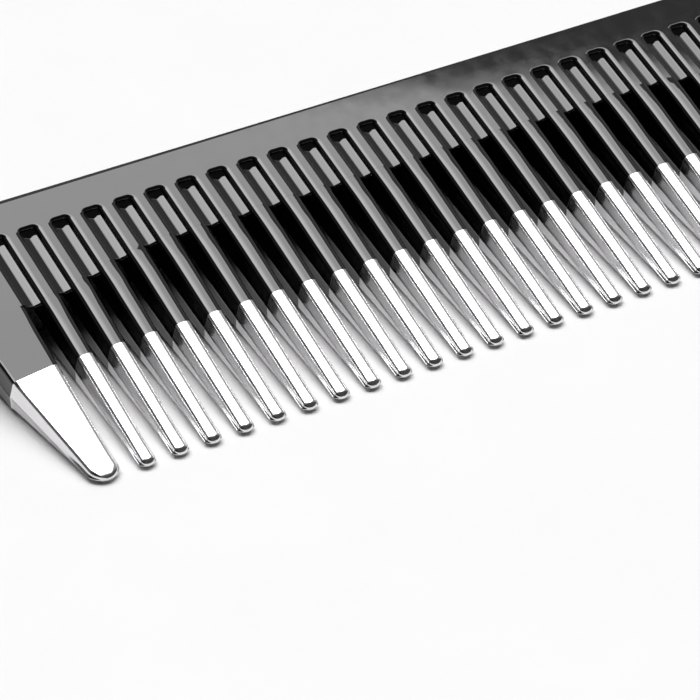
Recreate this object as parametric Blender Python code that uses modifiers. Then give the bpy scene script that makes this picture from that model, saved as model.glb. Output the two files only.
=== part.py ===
"""A rat tail comb: a toothed head with metallised tooth ends, and a tapering pin tail.

Frame: +X runs along the comb from the free end of the head to the tip of the tail, -Y is the way
the teeth point, and +Z is the way through the thickness. The origin is the middle of the whole
comb. The comb is the same above and below the plane Z = 0, where its two mould halves meet.
"""

from math import acos, asin, copysign, cos, pi, sin, sqrt

import bmesh
import bpy
from mathutils import Vector

MM = 0.001

# Driving dimensions, in millimetres
LENGTH = 218.0
HEIGHT = 26.82
PITCH = 2.75
FINE_TEETH = 25
GAP = 0.3

# Head, measured down from the back of the spine. The webs between the teeth end higher up in the
# middle of the row, and step down to the level of the guard teeth in the last gaps at either end.
FLUTE_TOP = 3.28
WEB = 8.03
WEB_DROPS = (2.27, 1.89, 1.19, 0.42)
ROOT = WEB + WEB_DROPS[0]
METAL_START = 16.28
SPINE_THICKNESS = 5.2
ROOT_THICKNESS = 4.28
TIP_THICKNESS = 0.8
SPINE_ROUNDING = 0.3
CORNER_RADIUS = 6.0
NECK_LENGTH = 6.0

# Flutes: the panels sunk into both faces of the head between the teeth, wider at the face than at
# their floor
FLUTE_WIDTH = 1.7
FLUTE_FLOOR_WIDTH = 1.3
FLUTE_DEPTH = 0.6
FLUTE_OVERSHOOT = 0.2

# Fine teeth
TOOTH_ROOT_WIDTH = 1.45
TOOTH_TIP_WIDTH = 1.15
TOOTH_EDGE = 0.3
TOOTH_BELLY = 0.15
TIP_ROUNDING = 0.5

# Guard teeth, measured from the middle of the nearest fine tooth
GUARD_INNER = 2.25
GUARD_OUTER = 6.3
GUARD_SLOPE_ABOVE = 0.1125
GUARD_SLOPE_BELOW = 0.177
GUARD_ROUNDING = 1.1
REAR_FILLET = 4.5

# Tail: the radius of its round shoulders is a share of its half width, at the body and at the point
TAIL_TIP_LENGTH = 29.4
TAIL_TIP_RADIUS = 1.1
TAIL_TIP_FLAT = 2.3
SHOULDER_BODY = 0.87
SHOULDER_POINT = 0.98
SEAM_GAP = 0.3

TOP_Y = HEIGHT / 2
ROOT_Y = TOP_Y - ROOT
METAL_Y = TOP_Y - METAL_START
TIP_Y = -HEIGHT / 2
HEAD_END_X = -LENGTH / 2
GUARD_TOP = GUARD_OUTER + GUARD_SLOPE_ABOVE * (METAL_START - CORNER_RADIUS)
FIRST_TOOTH_X = HEAD_END_X + GUARD_TOP
LAST_TOOTH_X = FIRST_TOOTH_X + (FINE_TEETH - 1) * PITCH
GUARD_ROOT = GUARD_OUTER + GUARD_SLOPE_ABOVE * (ROOT_Y - METAL_Y)
NECK_X = LAST_TOOTH_X + GUARD_ROOT + NECK_LENGTH
TAIL_Y = (TOP_Y + ROOT_Y) / 2
NECK_HALF_WIDTH = (TOP_Y - ROOT_Y) / 2
TAIL_METAL_X = LENGTH / 2 - TAIL_TIP_LENGTH

# Tail sections: distance from the neck as a share of the way to the metal tip, half width, half
# thickness
TAIL_STATIONS = (
    (0.0, NECK_HALF_WIDTH, 2.45),
    (0.15, NECK_HALF_WIDTH, 2.8),
    (0.4, NECK_HALF_WIDTH, 3.05),
    (0.7, 4.7, 3.1),
    (0.88, 4.55, 3.1),
    (1.0, 4.3, 3.1),
)


def clear_scene():
    """Start from an empty scene."""
    for item in list(bpy.data.objects):
        bpy.data.objects.remove(item, do_unlink=True)


def make_collection(name):
    """A new collection in the scene."""
    group = bpy.data.collections.new(name)
    bpy.context.scene.collection.children.link(group)
    return group


def make_material(name, color, roughness, metallic):
    """A Principled material."""
    material = bpy.data.materials.new(name)
    material.use_nodes = True
    shader = material.node_tree.nodes["Principled BSDF"]
    shader.inputs["Base Color"].default_value = (*color, 1.0)
    shader.inputs["Roughness"].default_value = roughness
    shader.inputs["Metallic"].default_value = metallic
    return material


def mesh_from(name, bm):
    """Turn a bmesh given in millimetres into a mesh in metres."""
    bmesh.ops.scale(bm, vec=Vector((MM, MM, MM)), verts=bm.verts)
    bmesh.ops.recalc_face_normals(bm, faces=bm.faces)
    mesh = bpy.data.meshes.new(name)
    bm.to_mesh(mesh)
    bm.free()
    return mesh


def place(name, mesh, material, group, parent, x=0.0):
    """Add a named sub-part, at a distance along the comb."""
    item = bpy.data.objects.new(name, mesh)
    if not mesh.materials:
        mesh.materials.append(material)
    item.location.x = x * MM
    item.parent = parent
    group.objects.link(item)
    return item


def loft(name, rings):
    """A closed solid through rings that all have the same number of points."""
    bm = bmesh.new()
    loops = [[bm.verts.new(point) for point in ring] for ring in rings]
    count = len(rings[0])
    for low, high in zip(loops, loops[1:]):
        for i in range(count):
            j = (i + 1) % count
            bm.faces.new((low[i], low[j], high[j], high[i]))
    bm.faces.new(loops[0])
    bm.faces.new(loops[-1])
    return mesh_from(name, bm)


def mix(low, high, share):
    """The value a share of the way from low to high."""
    return low + (high - low) * share


def half_thickness(y):
    """Half of the comb's thickness: the spine tapers gently to the roots, and the teeth faster."""
    if y >= ROOT_Y:
        share = (TOP_Y - y) / ROOT
        return mix(SPINE_THICKNESS, ROOT_THICKNESS, share) / 2
    share = (ROOT_Y - y) / (ROOT_Y - TIP_Y)
    return mix(ROOT_THICKNESS, TIP_THICKNESS, share) / 2


def tooth_ring(y, left, right, half, scale=1.0):
    """Ten points round a tooth: flat faces, eased edges, and widest at the mould line."""
    ease = TOOTH_EDGE
    upper = (
        (left - TOOTH_BELLY, 0.0),
        (left, half - ease),
        (left + ease, half),
        (right - ease, half),
        (right, half - ease),
        (right + TOOTH_BELLY, 0.0),
    )
    lower = [(x, -z) for x, z in reversed(upper[1:-1])]
    middle = (left + right) / 2
    return [Vector((mix(middle, x, scale), y, z * scale)) for x, z in (*upper, *lower)]


def rounded_end(rounding):
    """Heights above the very tip, and the section's scale there, down to a small flat."""
    steps = (0.0, 0.45, 0.75, 0.93)
    return [(rounding * (1 - step), sqrt(1 - step**2)) for step in steps] + [(0.0, 0.15)]


def fine_sides(y):
    """Left and right sides of a fine tooth about its own middle."""
    share = (ROOT_Y - y) / (ROOT_Y - TIP_Y)
    half = mix(TOOTH_ROOT_WIDTH, TOOTH_TIP_WIDTH, share) / 2
    return -half, half


def guard_outer(y):
    """Distance of a guard tooth's outer side from the nearest fine tooth's middle."""
    slope = GUARD_SLOPE_ABOVE if y > METAL_Y else GUARD_SLOPE_BELOW
    return GUARD_OUTER + slope * (y - METAL_Y)


def front_guard_sides(y):
    """Left and right sides of the guard tooth at the free end of the head."""
    return -guard_outer(y), -GUARD_INNER


def rear_guard_sides(y):
    """Left and right sides of the guard tooth beside the tail, which flares into the neck."""
    rise = max(0.0, y - (ROOT_Y - REAR_FILLET))
    flare = REAR_FILLET - sqrt(REAR_FILLET**2 - rise**2)
    return GUARD_INNER, guard_outer(y) + flare


def tooth_root(name, sides, levels):
    """The black upper part of a tooth, from the spine to the metallised end."""
    rings = [tooth_ring(y, *sides(y), half_thickness(y)) for y in levels]
    return loft(name, rings)


def tooth_end(name, sides, rounding):
    """The metallised lower part of a tooth, with a rounded point."""
    top = METAL_Y - GAP / 2
    rings = [tooth_ring(top, *sides(top), half_thickness(top))]
    for rise, scale in rounded_end(rounding):
        y = TIP_Y + rise
        rings.append(tooth_ring(y, *sides(y), half_thickness(y), scale))
    return loft(name, rings)


def web_level(gap):
    """Where the web in a gap ends, counting gaps from the front guard tooth."""
    from_end = min(gap, FINE_TEETH - gap)
    drop = WEB_DROPS[from_end] if from_end < len(WEB_DROPS) else 0.0
    return TOP_Y - WEB - drop


def head_outline():
    """The head's plate from above: square at the neck, with a round corner at the free end."""
    centre = Vector((HEAD_END_X + CORNER_RADIUS, TOP_Y - CORNER_RADIUS))
    steps = len(WEB_DROPS)
    points = [(FIRST_TOOTH_X - GUARD_ROOT, ROOT_Y)]
    for gap in (*range(steps + 1), *range(FINE_TEETH - steps, FINE_TEETH + 1)):
        points.append((FIRST_TOOTH_X + (gap - 0.5) * PITCH, web_level(gap)))
    points += [(NECK_X - GAP / 2, ROOT_Y), (NECK_X - GAP / 2, TOP_Y)]
    for step in range(7):
        angle = pi / 2 * (1 + step / 6)
        reach = Vector((cos(angle), sin(angle))) * CORNER_RADIUS
        points.append(tuple(centre + reach))
    return points


def is_back_edge(edge):
    """True for the edges of both faces along the spine's back and round its free end."""
    on_face = all(abs(vert.co.z) > 1.0 for vert in edge.verts)
    flat = abs(edge.verts[0].co.z - edge.verts[1].co.z) < 1.0
    low = all(vert.co.y < TOP_Y - WEB + 0.01 for vert in edge.verts)
    at_neck = all(vert.co.x > NECK_X - GAP for vert in edge.verts)
    return on_face and flat and not low and not at_neck


def head_plate(name):
    """The head without its teeth, before the flutes are cut."""
    half = SPINE_THICKNESS / 2
    bm = bmesh.new()
    base = bm.faces.new([bm.verts.new((x, y, -half)) for x, y in head_outline()])
    grown = bmesh.ops.extrude_face_region(bm, geom=[base])
    for vert in [item for item in grown["geom"] if isinstance(item, bmesh.types.BMVert)]:
        vert.co.z = half
    edges = [edge for edge in bm.edges if is_back_edge(edge)]
    bmesh.ops.bevel(
        bm, geom=edges, offset=SPINE_ROUNDING, segments=3, profile=0.5, affect="EDGES"
    )
    for vert in bm.verts:
        vert.co.z -= copysign(half - half_thickness(vert.co.y), vert.co.z)
    return mesh_from(name, bm)


def flute_cutter(group, parent):
    """The tool that cuts every flute: a box with flared sides, repeated along both faces."""
    bm = bmesh.new()
    bmesh.ops.create_cube(bm, size=1.0)
    flare = (FLUTE_WIDTH - FLUTE_FLOOR_WIDTH) / FLUTE_DEPTH
    height = FLUTE_DEPTH + FLUTE_OVERSHOOT
    length = ROOT - FLUTE_TOP + 1.0
    bmesh.ops.scale(bm, vec=Vector((1.0, length, height)), verts=bm.verts)
    top_y = TOP_Y - FLUTE_TOP
    bmesh.ops.translate(bm, vec=Vector((0.0, top_y - length / 2, height / 2)), verts=bm.verts)
    for vert in bm.verts:
        vert.co.x *= FLUTE_FLOOR_WIDTH + flare * vert.co.z
        vert.co.z += half_thickness(max(vert.co.y, ROOT_Y)) - FLUTE_DEPTH
    cutter = place("flute_cutter", mesh_from("flute_cutter", bm), None, group, parent)
    cutter.location.x = (FIRST_TOOTH_X - PITCH / 2) * MM
    cutter.hide_render = True
    cutter.display_type = "WIRE"
    repeat = cutter.modifiers.new("along_head", "ARRAY")
    repeat.count = FINE_TEETH + 1
    repeat.use_relative_offset = False
    repeat.use_constant_offset = True
    repeat.constant_offset_displace = (PITCH * MM, 0.0, 0.0)
    other = cutter.modifiers.new("other_face", "MIRROR")
    other.use_axis = (False, False, True)
    other.use_mirror_merge = False
    return cutter


def make_head(black, group, tools, parent):
    """The spine of the head, with its flutes."""
    head = place("head_spine", head_plate("head_spine"), black, group, parent)
    cut = head.modifiers.new("flutes", "BOOLEAN")
    cut.operation = "DIFFERENCE"
    cut.solver = "EXACT"
    cut.object = flute_cutter(tools, parent)


def make_teeth(black, metal, group, parent):
    """The row of fine teeth, each with its metallised end."""
    end = tooth_end("fine_tooth_tip", fine_sides, TIP_ROUNDING)
    for i in range(FINE_TEETH):
        x = FIRST_TOOTH_X + i * PITCH
        top = min(web_level(i), web_level(i + 1)) - GAP
        levels = [y for y in (top, ROOT_Y) if y >= ROOT_Y] + [ROOT_Y - GAP, METAL_Y + GAP / 2]
        root = tooth_root("fine_tooth", fine_sides, levels)
        place(f"tooth_{i + 1:02d}", root, black, group, parent, x)
        place(f"tooth_tip_{i + 1:02d}", end, metal, group, parent, x)


def make_guards(black, metal, group, parent):
    """The broad tooth at each end of the row."""
    top = ROOT_Y - GAP
    bottom = METAL_Y + GAP / 2
    flare = [top - REAR_FILLET * share for share in (0.0, 0.12, 0.3, 0.6)]
    ends = (
        ("front", front_guard_sides, FIRST_TOOTH_X, (top, bottom)),
        ("rear", rear_guard_sides, LAST_TOOTH_X, (*flare, bottom)),
    )
    for side, sides, x, levels in ends:
        root = tooth_root(f"guard_tooth_{side}", sides, levels)
        end = tooth_end(f"guard_tip_{side}", sides, GUARD_ROUNDING)
        place(root.name, root, black, group, parent, x)
        place(end.name, end, metal, group, parent, x)


def tail_ring(x, half_width, half_height, radius, side):
    """One half of the tail's section, above (side 1) or below (side -1) the seam.

    A side face leans in from the seam until it touches a round shoulder, which a flat face cuts off.
    """
    touch = acos(radius / half_width)
    flat = asin(min(half_height / radius, 0.999))
    angles = [mix(touch, flat, share) for share in (0.0, 0.5, 1.0)]
    near = [(half_width, 0.0), *((radius * cos(a), radius * sin(a)) for a in angles)]
    far = [(-y, z) for y, z in reversed(near)]
    crown = near[-1][1]
    return [
        Vector((x, TAIL_Y + y, mix(SEAM_GAP / 2, crown, z / crown) * side)) for y, z in near + far
    ]


def tail_body(name, side):
    """One moulded half of the black tail, from the neck to the metallised tip."""
    start = NECK_X + GAP / 2
    end = TAIL_METAL_X - GAP / 2
    rings = []
    for share, half_width, half_height in TAIL_STATIONS:
        radius = half_width * SHOULDER_BODY
        rings.append(tail_ring(mix(start, end, share), half_width, half_height, radius, side))
    return loft(name, rings)


def tail_point(name, side):
    """One half of the metallised tip, whose flat faces run out into a blunt round point."""
    start = TAIL_METAL_X + GAP / 2
    cone_end = LENGTH / 2 - TAIL_TIP_RADIUS
    width, height = TAIL_STATIONS[-1][1:]
    rings = []
    for share in (0.0, 0.12, 0.24, 0.36, 0.6, 0.8, 1.0):
        half_width = mix(width, TAIL_TIP_RADIUS, share)
        half_height = mix(height, TAIL_TIP_FLAT, share)
        radius = half_width * mix(SHOULDER_BODY, SHOULDER_POINT, share)
        rings.append(tail_ring(mix(start, cone_end, share), half_width, half_height, radius, side))
    last = pi / 2 - 0.25
    for angle in (0.4, 0.8, 1.2, last):
        half_width = TAIL_TIP_RADIUS * cos(angle)
        x = cone_end + TAIL_TIP_RADIUS * sin(angle) / sin(last)
        radius = half_width * SHOULDER_POINT
        rings.append(tail_ring(x, half_width, TAIL_TIP_FLAT, radius, side))
    return loft(name, rings)


def make_tail(black, metal, group, parent):
    """The tail, in two halves that meet at the seam along its sides."""
    for label, side in (("upper", 1), ("lower", -1)):
        body = tail_body(f"tail_{label}_half", side)
        point = tail_point(f"tail_tip_{label}", side)
        place(body.name, body, black, group, parent)
        place(point.name, point, metal, group, parent)


def main():
    """Build the comb."""
    clear_scene()
    group = make_collection("rat_tail_comb")
    tools = make_collection("cutters")
    centre = bpy.data.objects.new("comb_centre", None)
    group.objects.link(centre)
    black = make_material("gloss_black_plastic", (0.012, 0.012, 0.013), 0.12, 0.0)
    metal = make_material("bright_metal_coat", (0.86, 0.86, 0.87), 0.14, 1.0)
    make_head(black, group, tools, centre)
    make_teeth(black, metal, group, centre)
    make_guards(black, metal, group, centre)
    make_tail(black, metal, group, centre)


main()
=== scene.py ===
"""The looks of the rat tail comb: finished meshes, materials, floor, light and camera.

Frame: +X runs from the free end of the head to the tip of the tail, -Y is the way the teeth point
and +Z is the way through the thickness. Meshes are worked out in millimetres.
"""

from math import acos, asin, cos, pi, radians, sin, sqrt

import bmesh
import bpy
from mathutils import Matrix, Vector


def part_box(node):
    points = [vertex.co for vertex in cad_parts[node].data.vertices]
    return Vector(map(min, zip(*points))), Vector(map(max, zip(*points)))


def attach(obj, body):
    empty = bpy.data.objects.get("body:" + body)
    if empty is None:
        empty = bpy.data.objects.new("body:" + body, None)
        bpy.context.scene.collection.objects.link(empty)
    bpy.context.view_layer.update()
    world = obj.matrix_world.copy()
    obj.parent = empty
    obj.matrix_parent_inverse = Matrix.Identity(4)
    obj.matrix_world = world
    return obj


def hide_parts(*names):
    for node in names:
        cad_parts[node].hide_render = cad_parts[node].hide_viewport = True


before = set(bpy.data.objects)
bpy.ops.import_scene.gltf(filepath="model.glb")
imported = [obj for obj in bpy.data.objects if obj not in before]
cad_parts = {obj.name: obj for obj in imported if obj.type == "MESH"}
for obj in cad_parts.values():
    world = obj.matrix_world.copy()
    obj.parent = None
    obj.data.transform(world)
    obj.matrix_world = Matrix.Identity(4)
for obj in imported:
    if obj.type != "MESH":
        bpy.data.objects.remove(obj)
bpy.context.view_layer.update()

MM = 0.001
SEAM = 0.15


def mm_box(node):
    """Lowest and highest corner of a CAD node, in millimetres."""
    low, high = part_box(node)
    return low / MM, high / MM


HEAD_LOW, HEAD_HIGH = mm_box("head_spine")
FIRST_LOW, FIRST_HIGH = mm_box("tooth_01")
SECOND_LOW = mm_box("tooth_02")[0]
METAL_LOW, METAL_HIGH = mm_box("tooth_tip_01")
TAIL_HIGH = mm_box("tail_upper_half")[1]
POINT_HIGH = mm_box("tail_tip_upper")[1]

# Levels of the head, from the back of the spine to the tips of the teeth. Black and coat
# meet where the solid black part of the tooth ends.
TOP_Y = HEAD_HIGH.y
ROOT_Y = HEAD_LOW.y
METAL_Y = METAL_HIGH.y + 2 * SEAM
TIP_Y = METAL_LOW.y
HEAD_X = HEAD_LOW.x
NECK_X = HEAD_HIGH.x + SEAM
FIRST_X = (FIRST_LOW.x + FIRST_HIGH.x) / 2
PITCH = SECOND_LOW.x - FIRST_LOW.x
TEETH = sum(name.startswith("tooth_tip_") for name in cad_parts)
LAST_X = FIRST_X + (TEETH - 1) * PITCH

# Thickness of the head and the teeth, and the roundings
HALF_TOP = HEAD_HIGH.z
HALF_ROOT = 2.14
HALF_TIP = 0.4
CORNER_RADIUS = 6.0
BACK_ROUNDING = 0.3
FRONT_ROUNDING = 0.34

# Flutes between the teeth: a round lip that crowns the land beside it, a wall with a round foot and
# a valley floor, which rises towards the closed end. Their corners are wider at the mouth.
FLUTE_Y = TOP_Y - 2.95
LAND_HALF = 0.725
LAND_FLAT = 0.2
LIP_DEPTH = 0.34
WALL_DEPTH = 0.55
VALLEY_DEPTH = 0.65
WALL_FOOT = 0.16
FLUTE_CORNER = 0.3
MOUTH_CORNER = 0.7
LEAST_CORNER = 0.02
END_LIP = 0.35
END_RISE = 0.58
WEB_ROUNDING = 0.2
WEB_RISES = (-1.0, 0.0, 0.004, 0.016, 0.035, 0.06, 0.1, 0.15, 0.2)

# Where the webs between the teeth end, below the back of the spine, and how much lower they end in
# the gaps next to the guard teeth
WEB = 8.03
WEB_DROPS = (2.27, 1.89, 1.19, 0.42)

# Fine teeth and guard teeth, measured from the middle of the nearest fine tooth. A fine tooth is
# drawn in by a hair where it runs inside the plate.
ROOT_HALF_WIDTH = 0.725
TIP_HALF_WIDTH = 0.575
HIDDEN_INSET = 0.004
CROWN_REACH = 2.5
CROWN_WIDTH = 0.68
CROWN_DEPTH = 0.38
BELLY = 0.13
RIDGE = 0.025
TIP_ROUNDING = 0.5
GUARD_INNER = 2.25
GUARD_OUTER = 6.3
GUARD_SLOPE_ABOVE = 0.1125
GUARD_SLOPE_BELOW = 0.177
GUARD_ROUNDING = 1.1
GUARD_SLANT = 0.12
GUARD_TIP_FULLNESS = 0.6
REAR_FILLET = 4.5

# Tail. Its stations give the share of the way to the metal point, half width and half thickness.
TAIL_Y = (TOP_Y + ROOT_Y) / 2
TAIL_METAL_X = TAIL_HIGH.x + SEAM
TAIL_END_X = POINT_HIGH.x
POINT_RADIUS = 1.1
POINT_FLAT = 2.3
SHOULDER_BODY = 0.87
SHOULDER_POINT = 0.985
MORPH_LENGTH = 16.0
SEAM_MOUTH = 0.04
SEAM_LIP = 0.12
TAIL_STATIONS = (
    (0.0, 5.1, 2.45),
    (0.15, 5.1, 2.8),
    (0.4, 5.1, 3.05),
    (0.7, 4.7, 3.1),
    (0.88, 4.55, 3.1),
    (1.0, 4.3, 3.1),
)
WIDEST = max(half_width for _, half_width, _ in TAIL_STATIONS)
THICKEST = max(half_height for _, _, half_height in TAIL_STATIONS)

# Table: it touches the tips of the teeth and the front edge of the tail's flat
TABLE_AT_TIPS = -0.42
TABLE_SLOPE = -0.147
TABLE_REACH = 4000.0

# Camera: its direction and roll in degrees, the point it looks at from the head's corner, and lens
CAMERA_AZIMUTH = -36.4846
CAMERA_ELEVATION = 46.444
CAMERA_ROLL = 9.3748
CAMERA_TARGET = (26.8195, -22.6779)
CAMERA_DISTANCE = 270.223
CAMERA_LENS = 182.1


def mix(low, high, share):
    """The value a share of the way from low to high."""
    return low + (high - low) * share


def smooth(share):
    """An eased share that starts and ends level."""
    share = min(max(share, 0.0), 1.0)
    return share * share * (3 - 2 * share)


def plane_height(y):
    """Height of the plane of the head's upper face."""
    return mix(HALF_TOP, HALF_ROOT, (TOP_Y - y) / (TOP_Y - ROOT_Y))


def half_thickness(y):
    """Half of the comb's thickness at a level across the head."""
    if y >= ROOT_Y:
        return plane_height(y)
    return mix(HALF_ROOT, HALF_TIP, (ROOT_Y - y) / (ROOT_Y - TIP_Y))


def web_level(gap):
    """Where the web in a gap ends, counting gaps from the front guard tooth."""
    from_end = min(gap, TEETH - gap)
    drop = WEB_DROPS[from_end] if from_end < len(WEB_DROPS) else 0.0
    return TOP_Y - WEB - drop


def shear(bm):
    """Lean both faces of a plate of even thickness so that it thins towards the teeth."""
    for vert in bm.verts:
        lean = HALF_TOP - plane_height(vert.co.y)
        vert.co.z -= lean if vert.co.z > 0 else -lean


def bridge(bm, rings):
    """Join rings of points with quads and return the rings' vertices."""
    loops = [[bm.verts.new(point) for point in ring] for ring in rings]
    count = len(rings[0])
    for low, high in zip(loops, loops[1:]):
        for i in range(count):
            j = (i + 1) % count
            bm.faces.new((low[i], low[j], high[j], high[i]))
    return loops


def piece(name, node, bm, material, sharp=32.0):
    """A finished piece of the comb that stands for one CAD node."""
    bmesh.ops.remove_doubles(bm, verts=bm.verts, dist=1e-5)
    bmesh.ops.dissolve_degenerate(bm, dist=1e-5, edges=bm.edges)
    bmesh.ops.recalc_face_normals(bm, faces=bm.faces)
    bmesh.ops.scale(bm, vec=Vector((MM, MM, MM)), verts=bm.verts)
    mesh = bpy.data.meshes.new(name)
    bm.to_mesh(mesh)
    bm.free()
    mesh.shade_smooth()
    mesh.set_sharp_from_angle(angle=radians(sharp))
    mesh.materials.append(material)
    item = bpy.data.objects.new(name, mesh)
    bpy.context.scene.collection.objects.link(item)
    even = item.modifiers.new("even_normals", "WEIGHTED_NORMAL")
    even.keep_sharp = True
    even.weight = 50
    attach(item, "root")
    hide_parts(node)
    return item


class Graph:
    """Adds nodes to a shader tree and joins them."""

    def __init__(self, tree):
        self.tree = tree

    def add(self, kind, inputs=(), **settings):
        """A node with its settings, and values or sockets given to its inputs by name or number."""
        node = self.tree.nodes.new(kind)
        for key, value in settings.items():
            setattr(node, key, value)
        for key, value in dict(inputs).items():
            if isinstance(value, bpy.types.NodeSocket):
                self.tree.links.new(value, node.inputs[key])
            else:
                node.inputs[key].default_value = value
        return node

    def math(self, operation, *values):
        """The result of a sum on values or sockets."""
        return self.add("ShaderNodeMath", enumerate(values), operation=operation).outputs[0]

    def ramp(self, value, start, end, low=0.0, high=1.0):
        """Eases from low to high while value goes from start to end."""
        inputs = {0: value, 1: start, 2: end, 3: low, 4: high}
        node = self.add("ShaderNodeMapRange", inputs, interpolation_type="SMOOTHSTEP")
        return node.outputs[0]

    def noise(self, scale, detail, roughness=0.5, stretch=(1.0, 1.0, 1.0)):
        """Noise through the object's own space, with its size in noise cells per metre."""
        space = self.add("ShaderNodeTexCoord").outputs["Object"]
        placed = self.add("ShaderNodeMapping", {"Vector": space, "Scale": stretch})
        inputs = {
            "Vector": placed.outputs[0],
            "Scale": scale,
            "Detail": detail,
            "Roughness": roughness,
        }
        return self.add("ShaderNodeTexNoise", inputs).outputs["Fac"]

    def blend(self, share, first, second):
        """A colour between two colours."""
        node = self.add("ShaderNodeMix", data_type="RGBA")
        for key, value in ((0, share), (6, first), (7, second)):
            if isinstance(value, bpy.types.NodeSocket):
                self.tree.links.new(value, node.inputs[key])
            else:
                node.inputs[key].default_value = value
        return node.outputs[2]


def new_material(name):
    """An empty Principled material, its graph and its shader."""
    material = bpy.data.materials.new(name)
    material.use_nodes = True
    return material, Graph(material.node_tree), material.node_tree.nodes["Principled BSDF"]


def black_plastic():
    """Glossy black moulded plastic: faint waviness, a slight haze and a little dust."""
    material, graph, shader = new_material("gloss_black_plastic")
    link = material.node_tree.links.new
    tone = graph.noise(260.0, 3.0)
    colour = graph.blend(tone, (0.0008, 0.0008, 0.001, 1.0), (0.0022, 0.002, 0.0021, 1.0))
    dust = graph.ramp(graph.noise(9000.0, 2.0, 0.6), 0.74, 0.8)
    colour = graph.blend(graph.math("MULTIPLY", dust, 0.3), colour, (0.05, 0.05, 0.052, 1.0))
    link(colour, shader.inputs["Base Color"])
    haze = graph.noise(700.0, 4.0, 0.6)
    rough = graph.ramp(haze, 0.3, 0.75, 0.03, 0.06)
    link(graph.math("ADD", rough, graph.math("MULTIPLY", dust, 0.2)), shader.inputs["Roughness"])
    wave = graph.noise(170.0, 1.5)
    inputs = {"Strength": 0.06, "Distance": 0.0001, "Height": wave}
    link(graph.add("ShaderNodeBump", inputs).outputs[0], shader.inputs["Normal"])
    shader.inputs["IOR"].default_value = 1.59
    return material


def metal_coat(name, rough_low, rough_high, grain, edge, axis, fade):
    """A bright metallised coat that ends in a thin brownish line at its boundary."""
    material, graph, shader = new_material(name)
    link = material.node_tree.links.new
    tone = graph.noise(520.0, 3.0, 0.5)
    bright = graph.blend(tone, (0.72, 0.72, 0.735, 1.0), (0.82, 0.815, 0.815, 1.0))
    space = graph.add("ShaderNodeTexCoord").outputs["Object"]
    along = graph.add("ShaderNodeSeparateXYZ", {0: space}).outputs[axis]
    jitter = graph.math("MULTIPLY", graph.math("SUBTRACT", tone, 0.5), fade * 0.8)
    near = graph.math("ABSOLUTE", graph.math("SUBTRACT", along, edge))
    line = graph.ramp(graph.math("ADD", near, jitter), fade * 0.5, fade * 1.5, 1.0, 0.0)
    colour = graph.blend(graph.math("MULTIPLY", line, 0.8), bright, (0.21, 0.15, 0.11, 1.0))
    link(colour, shader.inputs["Base Color"])
    hair = graph.noise(2400.0, 3.0, 0.6, grain)
    rough = graph.ramp(hair, 0.25, 0.8, rough_low, rough_high)
    link(graph.math("ADD", rough, graph.math("MULTIPLY", line, 0.2)), shader.inputs["Roughness"])
    inputs = {"Strength": 0.03, "Distance": 0.00001, "Height": hair}
    fine = graph.add("ShaderNodeBump", inputs)
    peel = {
        "Strength": 0.03,
        "Distance": 0.00003,
        "Height": graph.noise(900.0, 1.0),
        "Normal": fine.outputs[0],
    }
    link(graph.add("ShaderNodeBump", peel).outputs[0], shader.inputs["Normal"])
    shader.inputs["Metallic"].default_value = 1.0
    return material


def corner(left, top, width, depth, steps=12):
    """A quarter of an ellipse from a tooth's side at the left to its face."""
    angles = [pi / 2 * (step / steps) ** 0.8 for step in range(steps + 1)]
    return [(left + width * (1 - cos(a)), top - depth * (1 - sin(a))) for a in angles]


def tooth_ring(y, sides, half, crowns, bellies=(BELLY, BELLY), scale=1.0, slant=0.0, fullness=1.0):
    """Points round a tooth: curved faces and a fine ridge along the mould line."""
    left, right = sides
    upper = []
    for side, (width, depth), belly in zip((-1, 1), crowns, bellies):
        edge = right if side > 0 else -left
        depth = min(depth, half * 0.62)
        reach = half - depth
        points = [(-edge - belly - RIDGE, 0.0), (-edge - belly, min(0.05, reach * 0.3))]
        for share in (0.25, 0.5, 0.75):
            drop = mix(points[1][1], reach, share)
            points.append((-edge - belly * (1 - share) ** 1.3, drop))
        points += corner(-edge, half, width, depth)
        upper.append([(-side * x, z) for x, z in points])
    top = [*upper[0], *reversed(upper[1])]
    ring = [*top, *((x, -z) for x, z in reversed(top[1:-1]))]
    middle = (left + right) / 2
    inner = min(abs(left), abs(right))
    points = []
    for x, z in ring:
        x = mix(middle, x, scale)
        points.append(Vector((x, y - slant * max(abs(x) - inner, 0.0), z * scale**fullness)))
    return points


def fine_sides(y):
    """Left and right sides of a fine tooth about its own middle."""
    half = mix(ROOT_HALF_WIDTH, TIP_HALF_WIDTH, (ROOT_Y - y) / (ROOT_Y - TIP_Y))
    return -half, half


def guard_outer(y):
    """Distance of a guard tooth's outer side from the nearest fine tooth's middle."""
    slope = GUARD_SLOPE_ABOVE if y > METAL_Y else GUARD_SLOPE_BELOW
    return GUARD_OUTER + slope * (y - METAL_Y)


def front_sides(y):
    """Left and right sides of the guard tooth at the free end of the head."""
    return -guard_outer(y), -GUARD_INNER


def rear_sides(y):
    """Left and right sides of the guard tooth beside the tail, which flares into the neck."""
    rise = min(max(0.0, y - (ROOT_Y - REAR_FILLET)), REAR_FILLET)
    flare = REAR_FILLET - sqrt(REAR_FILLET**2 - rise**2)
    return GUARD_INNER, guard_outer(y) + flare


def closed(rings, x):
    """A closed solid through rings, moved along the comb."""
    bm = bmesh.new()
    loops = bridge(bm, rings)
    bm.faces.new(loops[0])
    bm.faces.new(loops[-1])
    bmesh.ops.translate(bm, vec=Vector((x, 0.0, 0.0)), verts=bm.verts)
    return bm


def rounded_end(rounding, steps=12):
    """Heights above the very tip and the section's scale there."""
    angles = [pi / 2 * step / steps for step in range(steps)]
    return [(rounding * (1 - sin(a)), cos(a)) for a in angles] + [(0.0, 0.06)]


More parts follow.
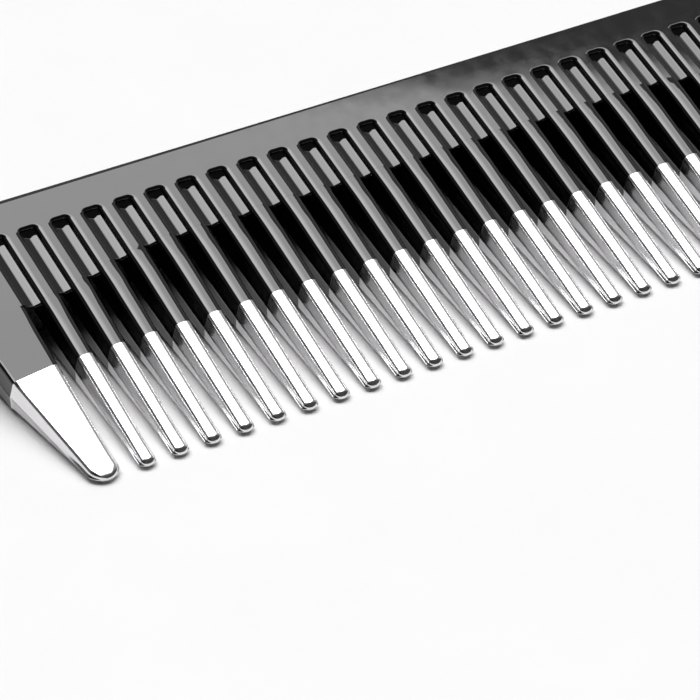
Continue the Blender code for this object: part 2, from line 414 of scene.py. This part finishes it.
def fine_ring(y, start=TOP_Y, scale=1.0, shrink=0.0):
    """Points round a fine tooth, whose face is more curved below its start than on the head."""
    left, right = fine_sides(min(y, ROOT_Y))
    share = smooth((start - y) / CROWN_REACH)
    width = mix(LAND_HALF - LAND_FLAT, CROWN_WIDTH, share) * right / ROOT_HALF_WIDTH
    crown = (width - shrink, mix(LIP_DEPTH, CROWN_DEPTH, share))
    sides = (left + shrink, right - shrink)
    return tooth_ring(y, sides, half_thickness(y) - shrink, (crown, crown), scale=scale)


def make_fine_teeth(black, metal):
    """The row of fine teeth: black roots and metallised ends."""
    for i in range(TEETH):
        x = FIRST_X + i * PITCH
        low, high = sorted((web_level(i), web_level(i + 1)))
        hidden = [high + 0.5, high + 0.1] + ([low] if low < high else [])
        rings = [fine_ring(y, low, shrink=HIDDEN_INSET) for y in hidden]
        steps = [mix(high, METAL_Y, share / 16) for share in range(1, 17)]
        rings += [fine_ring(y, low) for y in steps if y < low - 0.01]
        number = f"{i + 1:02d}"
        piece(f"look_tooth_{number}", f"tooth_{number}", closed(rings, x), black)
        rings = [fine_ring(mix(METAL_Y, TIP_Y + TIP_ROUNDING, share / 8)) for share in range(9)]
        for rise, scale in rounded_end(TIP_ROUNDING)[1:]:
            rings.append(fine_ring(TIP_Y + rise, scale=scale))
        name = f"tooth_tip_{number}"
        piece(f"look_{name}", name, closed(rings, x), metal)


def guard_ring(y, sides, outer, scale=1.0, slant=0.0):
    """Points round a guard tooth: its edge beside the fine teeth is as curved as theirs."""
    grown = smooth((ROOT_Y - y) / 3.0)
    share = smooth((ROOT_Y - y) / CROWN_REACH)
    inner = (mix(LAND_HALF - LAND_FLAT, CROWN_WIDTH, share), mix(LIP_DEPTH, CROWN_DEPTH, share))
    edges = [(FRONT_ROUNDING, FRONT_ROUNDING), inner]
    bellies = [0.15 * grown, BELLY]
    if outer > 0:
        edges.reverse()
        bellies.reverse()
    half = half_thickness(y)
    return tooth_ring(y, sides(y), half, edges, bellies, scale, slant, GUARD_TIP_FULLNESS)


def make_guards(black, metal):
    """The broad tooth at each end of the row."""
    ends = (("front", front_sides, FIRST_X, -1), ("rear", rear_sides, LAST_X, 1))
    for side, sides, x, outer in ends:
        rings = []
        for share in range(13):
            y = mix(ROOT_Y, METAL_Y + 0.6, sin(pi / 2 * share / 12) if outer > 0 else share / 12)
            rings.append(guard_ring(y, sides, outer))
        rings.append(guard_ring(METAL_Y, sides, outer, slant=GUARD_SLANT))
        name = f"guard_tooth_{side}"
        piece(f"look_{name}", name, closed(rings, x), black)
        rings = [guard_ring(METAL_Y, sides, outer, slant=GUARD_SLANT)]
        for share in range(1, 13):
            y = mix(METAL_Y - 0.6, TIP_Y + GUARD_ROUNDING, (share - 1) / 12)
            rings.append(guard_ring(y, sides, outer))
        for rise, scale in rounded_end(GUARD_ROUNDING, 16):
            rings.append(guard_ring(TIP_Y + rise, sides, outer, scale))
        name = f"guard_tip_{side}"
        piece(f"look_{name}", name, closed(rings, x), metal)


def plate_outline():
    """The head's plate from above: square at the neck, with a round corner at the free end."""
    points = [(FIRST_X + front_sides(ROOT_Y)[0], ROOT_Y)]
    steps = len(WEB_DROPS)
    reach = PITCH / 2 - LAND_HALF + 0.01
    for gap in (*range(steps + 1), *range(TEETH - steps, TEETH + 1)):
        middle = FIRST_X + (gap - 0.5) * PITCH
        points += [(middle - reach, web_level(gap)), (middle + reach, web_level(gap))]
    flare = LAST_X + rear_sides(ROOT_Y)[1]
    points += [(flare, ROOT_Y), (NECK_X, ROOT_Y), (NECK_X, TOP_Y)]
    centre = (HEAD_X + CORNER_RADIUS, TOP_Y - CORNER_RADIUS)
    for step in range(33):
        angle = pi / 2 * (1 + step / 32)
        points.append((centre[0] + CORNER_RADIUS * cos(angle), centre[1] + CORNER_RADIUS * sin(angle)))
    return points


def plate_mesh():
    """The head's plate at even thickness, its outer edges rounded."""
    flare = LAST_X + rear_sides(ROOT_Y)[1]
    bm = bmesh.new()
    base = bm.faces.new([bm.verts.new((x, y, -HALF_TOP)) for x, y in plate_outline()])
    grown = bmesh.ops.extrude_face_region(bm, geom=[base])
    for vert in [item for item in grown["geom"] if isinstance(item, bmesh.types.BMVert)]:
        vert.co.z = HALF_TOP
    edges = []
    for edge in bm.edges:
        a, b = (vert.co for vert in edge.verts)
        level = abs(a.z - b.z) < 1.0
        toothed = max(a.y, b.y) < TOP_Y - WEB + 0.01 and min(a.x, b.x) < flare - 0.01
        at_neck = min(a.x, b.x) > NECK_X - 0.01
        if level and not toothed and not at_neck:
            edges.append(edge)
    bmesh.ops.bevel(
        bm, geom=edges, offset=BACK_ROUNDING, segments=8, profile=0.5, affect="EDGES"
    )
    bmesh.ops.recalc_face_normals(bm, faces=bm.faces)
    return bm


def web_drop(rise):
    """How far the flute's floor falls away as it rounds over the edge of the web."""
    reach = WEB_ROUNDING - min(max(rise, 0.0), WEB_ROUNDING)
    return WEB_ROUNDING - sqrt(max(WEB_ROUNDING**2 - reach**2, 0.0))


def flute_ring(reach, depth, floor, web):
    """One level of a flute's shape, from its open end round its closed end and back.

    Reach is the distance of its sides from the middle of the flute.
    """
    inset = PITCH / 2 - LAND_HALF - reach
    radius = max(min(FLUTE_CORNER - inset, MOUTH_CORNER), LEAST_CORNER)
    sunk = min(max((-depth - LIP_DEPTH) / (VALLEY_DEPTH - LIP_DEPTH), 0.0), 1.0)
    top = FLUTE_Y - END_LIP * (1 + min(inset, 0.0) / (LAND_HALF - LAND_FLAT)) - END_RISE * sunk
    side = [(web + rise, depth - floor * web_drop(rise)) for rise in WEB_RISES]
    left = [(-reach, y, z) for y, z in side]
    arc = []
    for step in range(7):
        angle = pi / 2 * step / 6
        x = -reach + radius * (1 - cos(angle))
        arc.append((x, top - radius * (1 - sin(angle)), depth))
    upper = [*left, *arc]
    return [*upper, *((-x, y, z) for x, y, z in reversed(upper))]


def flute_levels():
    """Reach, depth and share of the floor's rounding for each level of a flute."""
    wide = PITCH / 2 - LAND_FLAT
    wall = PITCH / 2 - LAND_HALF
    levels = [(wide + 0.02, 0.3, 0.0), (wide, 0.004, 0.0)]
    for step in range(1, 11):
        angle = pi / 2 * step / 10
        reach = mix(wide, wall, sin(angle))
        levels.append((reach, 0.004 - (LIP_DEPTH + 0.004) * (1 - cos(angle)), 0.0))
    for angle in (0.0, 0.3, 0.6, 0.9, 1.2):
        foot = WALL_FOOT * (1 - cos(angle))
        levels.append((wall - foot, -WALL_DEPTH + WALL_FOOT * (1 - sin(angle)), 1.0))
    for share in (0.4, 0.8):
        levels.append((mix(wall - WALL_FOOT, 0.0, share), -mix(WALL_DEPTH, VALLEY_DEPTH, share), 1.0))
    levels.append((0.04, -VALLEY_DEPTH, 1.0))
    return levels


def flute_tools():
    """The shapes of all the flutes, on both faces."""
    bm = bmesh.new()
    for gap in range(TEETH + 1):
        x = FIRST_X + (gap - 0.5) * PITCH
        rings = [flute_ring(*level, web_level(gap)) for level in flute_levels()]
        straight = len(WEB_RISES)
        for side in (1, -1):
            placed = [
                [Vector((x + a, b, (HALF_TOP + c) * side)) for a, b, c in ring]
                for ring in rings
            ]
            loops = bridge(bm, placed)
            bm.faces.new(loops[0])
            floor = loops[-1]
            count = len(floor)
            for k in range(straight - 1):
                far = count - 1 - k
                bm.faces.new((floor[k], floor[k + 1], floor[far - 1], floor[far]))
            bm.faces.new(floor[straight - 1 : count - straight + 1])
    bmesh.ops.recalc_face_normals(bm, faces=bm.faces)
    return bm


def temporary(name, bm):
    """A passing object for a Boolean."""
    mesh = bpy.data.meshes.new(name)
    bm.to_mesh(mesh)
    bm.free()
    item = bpy.data.objects.new(name, mesh)
    bpy.context.scene.collection.objects.link(item)
    return item


def make_head(black):
    """The spine of the head, with its flutes."""
    plate = temporary("plate", plate_mesh())
    tools = temporary("flutes", flute_tools())
    cut = plate.modifiers.new("flutes", "BOOLEAN")
    cut.operation = "DIFFERENCE"
    cut.solver = "EXACT"
    cut.object = tools
    bpy.context.view_layer.update()
    evaluated = plate.evaluated_get(bpy.context.evaluated_depsgraph_get())
    bm = bmesh.new()
    bm.from_mesh(evaluated.to_mesh())
    evaluated.to_mesh_clear()
    bpy.data.objects.remove(plate)
    bpy.data.objects.remove(tools)
    shear(bm)
    return piece("look_head_spine", "head_spine", bm, black, 40.0)


def station(share):
    """Half width and half thickness of the tail, on a smooth line through its stations."""
    slopes = []
    for i in range(len(TAIL_STATIONS)):
        low = TAIL_STATIONS[max(i - 1, 0)]
        high = TAIL_STATIONS[min(i + 1, len(TAIL_STATIONS) - 1)]
        slopes.append([(high[k] - low[k]) / (high[0] - low[0]) for k in (1, 2)])
    for i, (low, high) in enumerate(zip(TAIL_STATIONS, TAIL_STATIONS[1:])):
        if share <= high[0] or i == len(TAIL_STATIONS) - 2:
            span = high[0] - low[0]
            t = (share - low[0]) / span
            found = []
            for k in (0, 1):
                a, b = low[k + 1], high[k + 1]
                m, n = slopes[i][k] * span, slopes[i + 1][k] * span
                found.append(
                    (2 * t**3 - 3 * t**2 + 1) * a
                    + (t**3 - 2 * t**2 + t) * m
                    + (3 * t**2 - 2 * t**3) * b
                    + (t**3 - t**2) * n
                )
            return min(found[0], WIDEST), min(found[1], THICKEST)
    return TAIL_STATIONS[-1][1:]


def tail_quarter(half_width, half_height, radius, groove):
    """A quarter of the tail's section: seam, leaning side face, round shoulder and flat top."""
    touch = acos(radius / half_width)
    flat = asin(min(half_height / radius, 1.0))
    lip = min(SEAM_LIP, half_width * 0.1)
    mouth = (half_width - groove, 0.4 * lip)
    points = [(half_width * 0.8, 0.0), mouth, (half_width - 0.012, lip)]
    end = (radius * cos(touch), radius * sin(touch))
    for share in (0.33, 0.67):
        points.append((mix(half_width, end[0], share), mix(lip, end[1], share)))
    for step in range(15):
        angle = mix(touch, flat, step / 14)
        points.append((radius * cos(angle), radius * sin(angle)))
    return points


def plate_quarter(side):
    """A quarter of the head's section at the neck, with as many points as the tail's."""
    half_width = TOP_Y - TAIL_Y
    points = [(half_width * 0.8, 0.0), (half_width, 0.02), (half_width, SEAM_LIP)]
    reach = HALF_TOP - BACK_ROUNDING
    for share in (0.33, 0.67):
        points.append((half_width, mix(SEAM_LIP, reach, share)))
    for step in range(15):
        angle = pi / 2 * step / 14
        y = half_width - BACK_ROUNDING * (1 - cos(angle))
        points.append((y, reach + BACK_ROUNDING * sin(angle)))
    ring = []
    for y, z in points:
        lean = HALF_TOP - half_thickness(TAIL_Y + side * y)
        ring.append((y, z - lean * min(z / reach, 1.0)))
    return ring


def tail_section(x, quarters, side):
    """A whole ring from the back quarter and the front quarter."""
    back, front = quarters
    ring = [*back, *((-y, z) for y, z in reversed(front))]
    return [Vector((x, TAIL_Y + y, z * side)) for y, z in ring]


def tail_half(side):
    """One moulded half of the black tail, which grows out of the head's section."""
    rings = []
    for step in range(71):
        share = step / 70
        x = mix(NECK_X, TAIL_METAL_X, share)
        half_width, half_height = station(share)
        formed = smooth((x - NECK_X) / MORPH_LENGTH)
        tail = tail_quarter(half_width, half_height, half_width * SHOULDER_BODY, SEAM_MOUTH * formed)
        quarters = []
        for end in (1, -1):
            plate = plate_quarter(end)
            pairs = zip(plate, tail)
            quarters.append([(mix(a, c, formed), mix(b, d, formed)) for (a, b), (c, d) in pairs])
        rings.append(tail_section(x, quarters, side))
    return closed(rings, 0.0)


def point_half(side):
    """One half of the metallised point: flat faces that run out on a cone, and a blunt end."""
    width, height = TAIL_STATIONS[-1][1:]
    cone_end = TAIL_END_X - POINT_RADIUS
    sections = []
    for step in range(61):
        share = step / 60
        shoulder = mix(SHOULDER_BODY, SHOULDER_POINT, smooth(share / 0.32))
        half_width = mix(width, POINT_RADIUS, share)
        sections.append((mix(TAIL_METAL_X, cone_end, share), half_width, share, shoulder))
    for step in range(1, 13):
        angle = pi / 2 * step / 12.4
        x = cone_end + POINT_RADIUS * sin(angle)
        sections.append((x, POINT_RADIUS * cos(angle), 1.0, SHOULDER_POINT))
    rings = []
    for x, half_width, share, shoulder in sections:
        flat = mix(height, POINT_FLAT, share)
        groove = min(SEAM_MOUTH, half_width * 0.1)
        quarter = tail_quarter(half_width, flat, half_width * shoulder, groove)
        rings.append(tail_section(x, (quarter, quarter), side))
    return closed(rings, 0.0)


def make_tail(black, metal):
    """The tail and its metallised point, in two halves each."""
    for label, side in (("upper", 1), ("lower", -1)):
        name = f"tail_{label}_half"
        piece(f"look_{name}", name, tail_half(side), black, 28.0)
        name = f"tail_tip_{label}"
        piece(f"look_{name}", name, point_half(side), metal, 28.0)


def floor_height(y):
    """Height of the table under the comb, which rests on the tail and on the tips of the teeth."""
    return TABLE_AT_TIPS + TABLE_SLOPE * (y - TIP_Y - 0.4)


def make_floor():
    """A plain pale table top."""
    bm = bmesh.new()
    reach = TABLE_REACH
    corners = ((-reach, -reach), (reach, -reach), (reach, reach), (-reach, reach))
    bm.faces.new([bm.verts.new((x, y, floor_height(y))) for x, y in corners])
    bmesh.ops.scale(bm, vec=Vector((MM, MM, MM)), verts=bm.verts)
    mesh = bpy.data.meshes.new("table_top")
    bm.to_mesh(mesh)
    bm.free()
    material, graph, shader = new_material("pale_table")
    tone = graph.noise(120.0, 5.0, 0.6)
    colour = graph.blend(tone, (0.775, 0.775, 0.78, 1.0), (0.805, 0.803, 0.802, 1.0))
    material.node_tree.links.new(colour, shader.inputs["Base Color"])
    shader.inputs["Roughness"].default_value = 0.65
    shader.inputs["Specular IOR Level"].default_value = 0.2
    mesh.materials.append(material)
    floor = bpy.data.objects.new("table_top", mesh)
    bpy.context.scene.collection.objects.link(floor)


def make_world():
    """Soft studio light: a broad overhead panel, brighter to its left, and a dim room.

    px and py say where a direction crosses a level plane one unit up. The panel's soft edges lie on
    that plane, three of them slanted.
    """
    world = bpy.data.worlds.new("studio")
    bpy.context.scene.world = world
    world.use_nodes = True
    graph = Graph(world.node_tree)
    way = graph.add("ShaderNodeTexCoord").outputs["Generated"]
    axes = graph.add("ShaderNodeSeparateXYZ", {0: way})
    x, y, z = axes.outputs
    height = graph.math("MAXIMUM", z, 0.02)
    px = graph.math("DIVIDE", x, height)
    py = graph.math("DIVIDE", y, height)
    back = graph.math("ADD", py, graph.math("MULTIPLY", px, 0.3))
    panel = graph.ramp(back, 0.922, 0.934, 1.0, 0.0)
    front = graph.math("ADD", px, graph.math("MULTIPLY", py, 1.63))
    side = graph.math("SUBTRACT", px, graph.math("MULTIPLY", py, 1.2))
    for part in (
        graph.ramp(py, -0.35, -0.15),
        graph.ramp(px, -0.7, -0.45),
        graph.ramp(front, 0.17, 0.34),
        graph.ramp(side, 0.3, 0.6, 1.0, 0.0),
        graph.ramp(px, -0.35, 0.5, 2.05, 1.0),
        graph.ramp(z, 0.02, 0.1),
    ):
        panel = graph.math("MULTIPLY", panel, part)
    room = graph.ramp(y, -0.15, 0.15, 0.06, 0.38)
    room = graph.math("MULTIPLY", room, graph.ramp(x, -0.6, -0.2, 0.3, 1.0))
    total = None
    parts = ((panel, (4.2, 4.15, 4.15)), (room, (1.0, 1.0, 1.02)))
    for share, colour in parts:
        inputs = {0: colour, "Scale": share}
        glow = graph.add("ShaderNodeVectorMath", inputs, operation="SCALE").outputs[0]
        if total is not None:
            inputs = {0: total, 1: glow}
            glow = graph.add("ShaderNodeVectorMath", inputs, operation="ADD").outputs[0]
        total = glow
    background = world.node_tree.nodes["Background"]
    world.node_tree.links.new(total, background.inputs["Color"])


def make_camera():
    """A long lens over the free end of the head, rolled so that the teeth lie across the view."""
    data = bpy.data.cameras.new("camera")
    data.sensor_width = 36.0
    data.lens = CAMERA_LENS
    data.clip_start = 0.01
    camera = bpy.data.objects.new("camera", data)
    bpy.context.scene.collection.objects.link(camera)
    azimuth, elevation = radians(CAMERA_AZIMUTH), radians(CAMERA_ELEVATION)
    roll = radians(CAMERA_ROLL)
    back = Vector(
        (sin(azimuth) * cos(elevation), -cos(azimuth) * cos(elevation), sin(elevation))
    )
    right = Vector((cos(azimuth), sin(azimuth), 0.0))
    up = back.cross(right)
    turned = (
        cos(roll) * right + sin(roll) * up,
        -sin(roll) * right + cos(roll) * up,
        back,
    )
    place = Matrix.Identity(4)
    for column, axis in enumerate(turned):
        for row in range(3):
            place[row][column] = axis[row]
    target = Vector((HEAD_X + CAMERA_TARGET[0], TOP_Y + CAMERA_TARGET[1], 0.0)) * MM
    place.translation = target + back * CAMERA_DISTANCE * MM
    camera.matrix_world = place
    bpy.context.scene.camera = camera


def main():
    """Build everything."""
    black = black_plastic()
    teeth_metal = metal_coat(
        "bright_metal_coat", 0.14, 0.21, (1.0, 0.5, 1.0), METAL_Y * MM, 1, 0.00005
    )
    point_metal = metal_coat(
        "satin_metal_coat", 0.2, 0.3, (0.3, 2.0, 2.0), TAIL_METAL_X * MM, 0, 0.00008
    )
    make_head(black)
    make_fine_teeth(black, teeth_metal)
    make_guards(black, teeth_metal)
    make_tail(black, point_metal)
    make_floor()
    make_world()
    make_camera()
    bpy.context.scene.view_settings.view_transform = "Standard"


main()
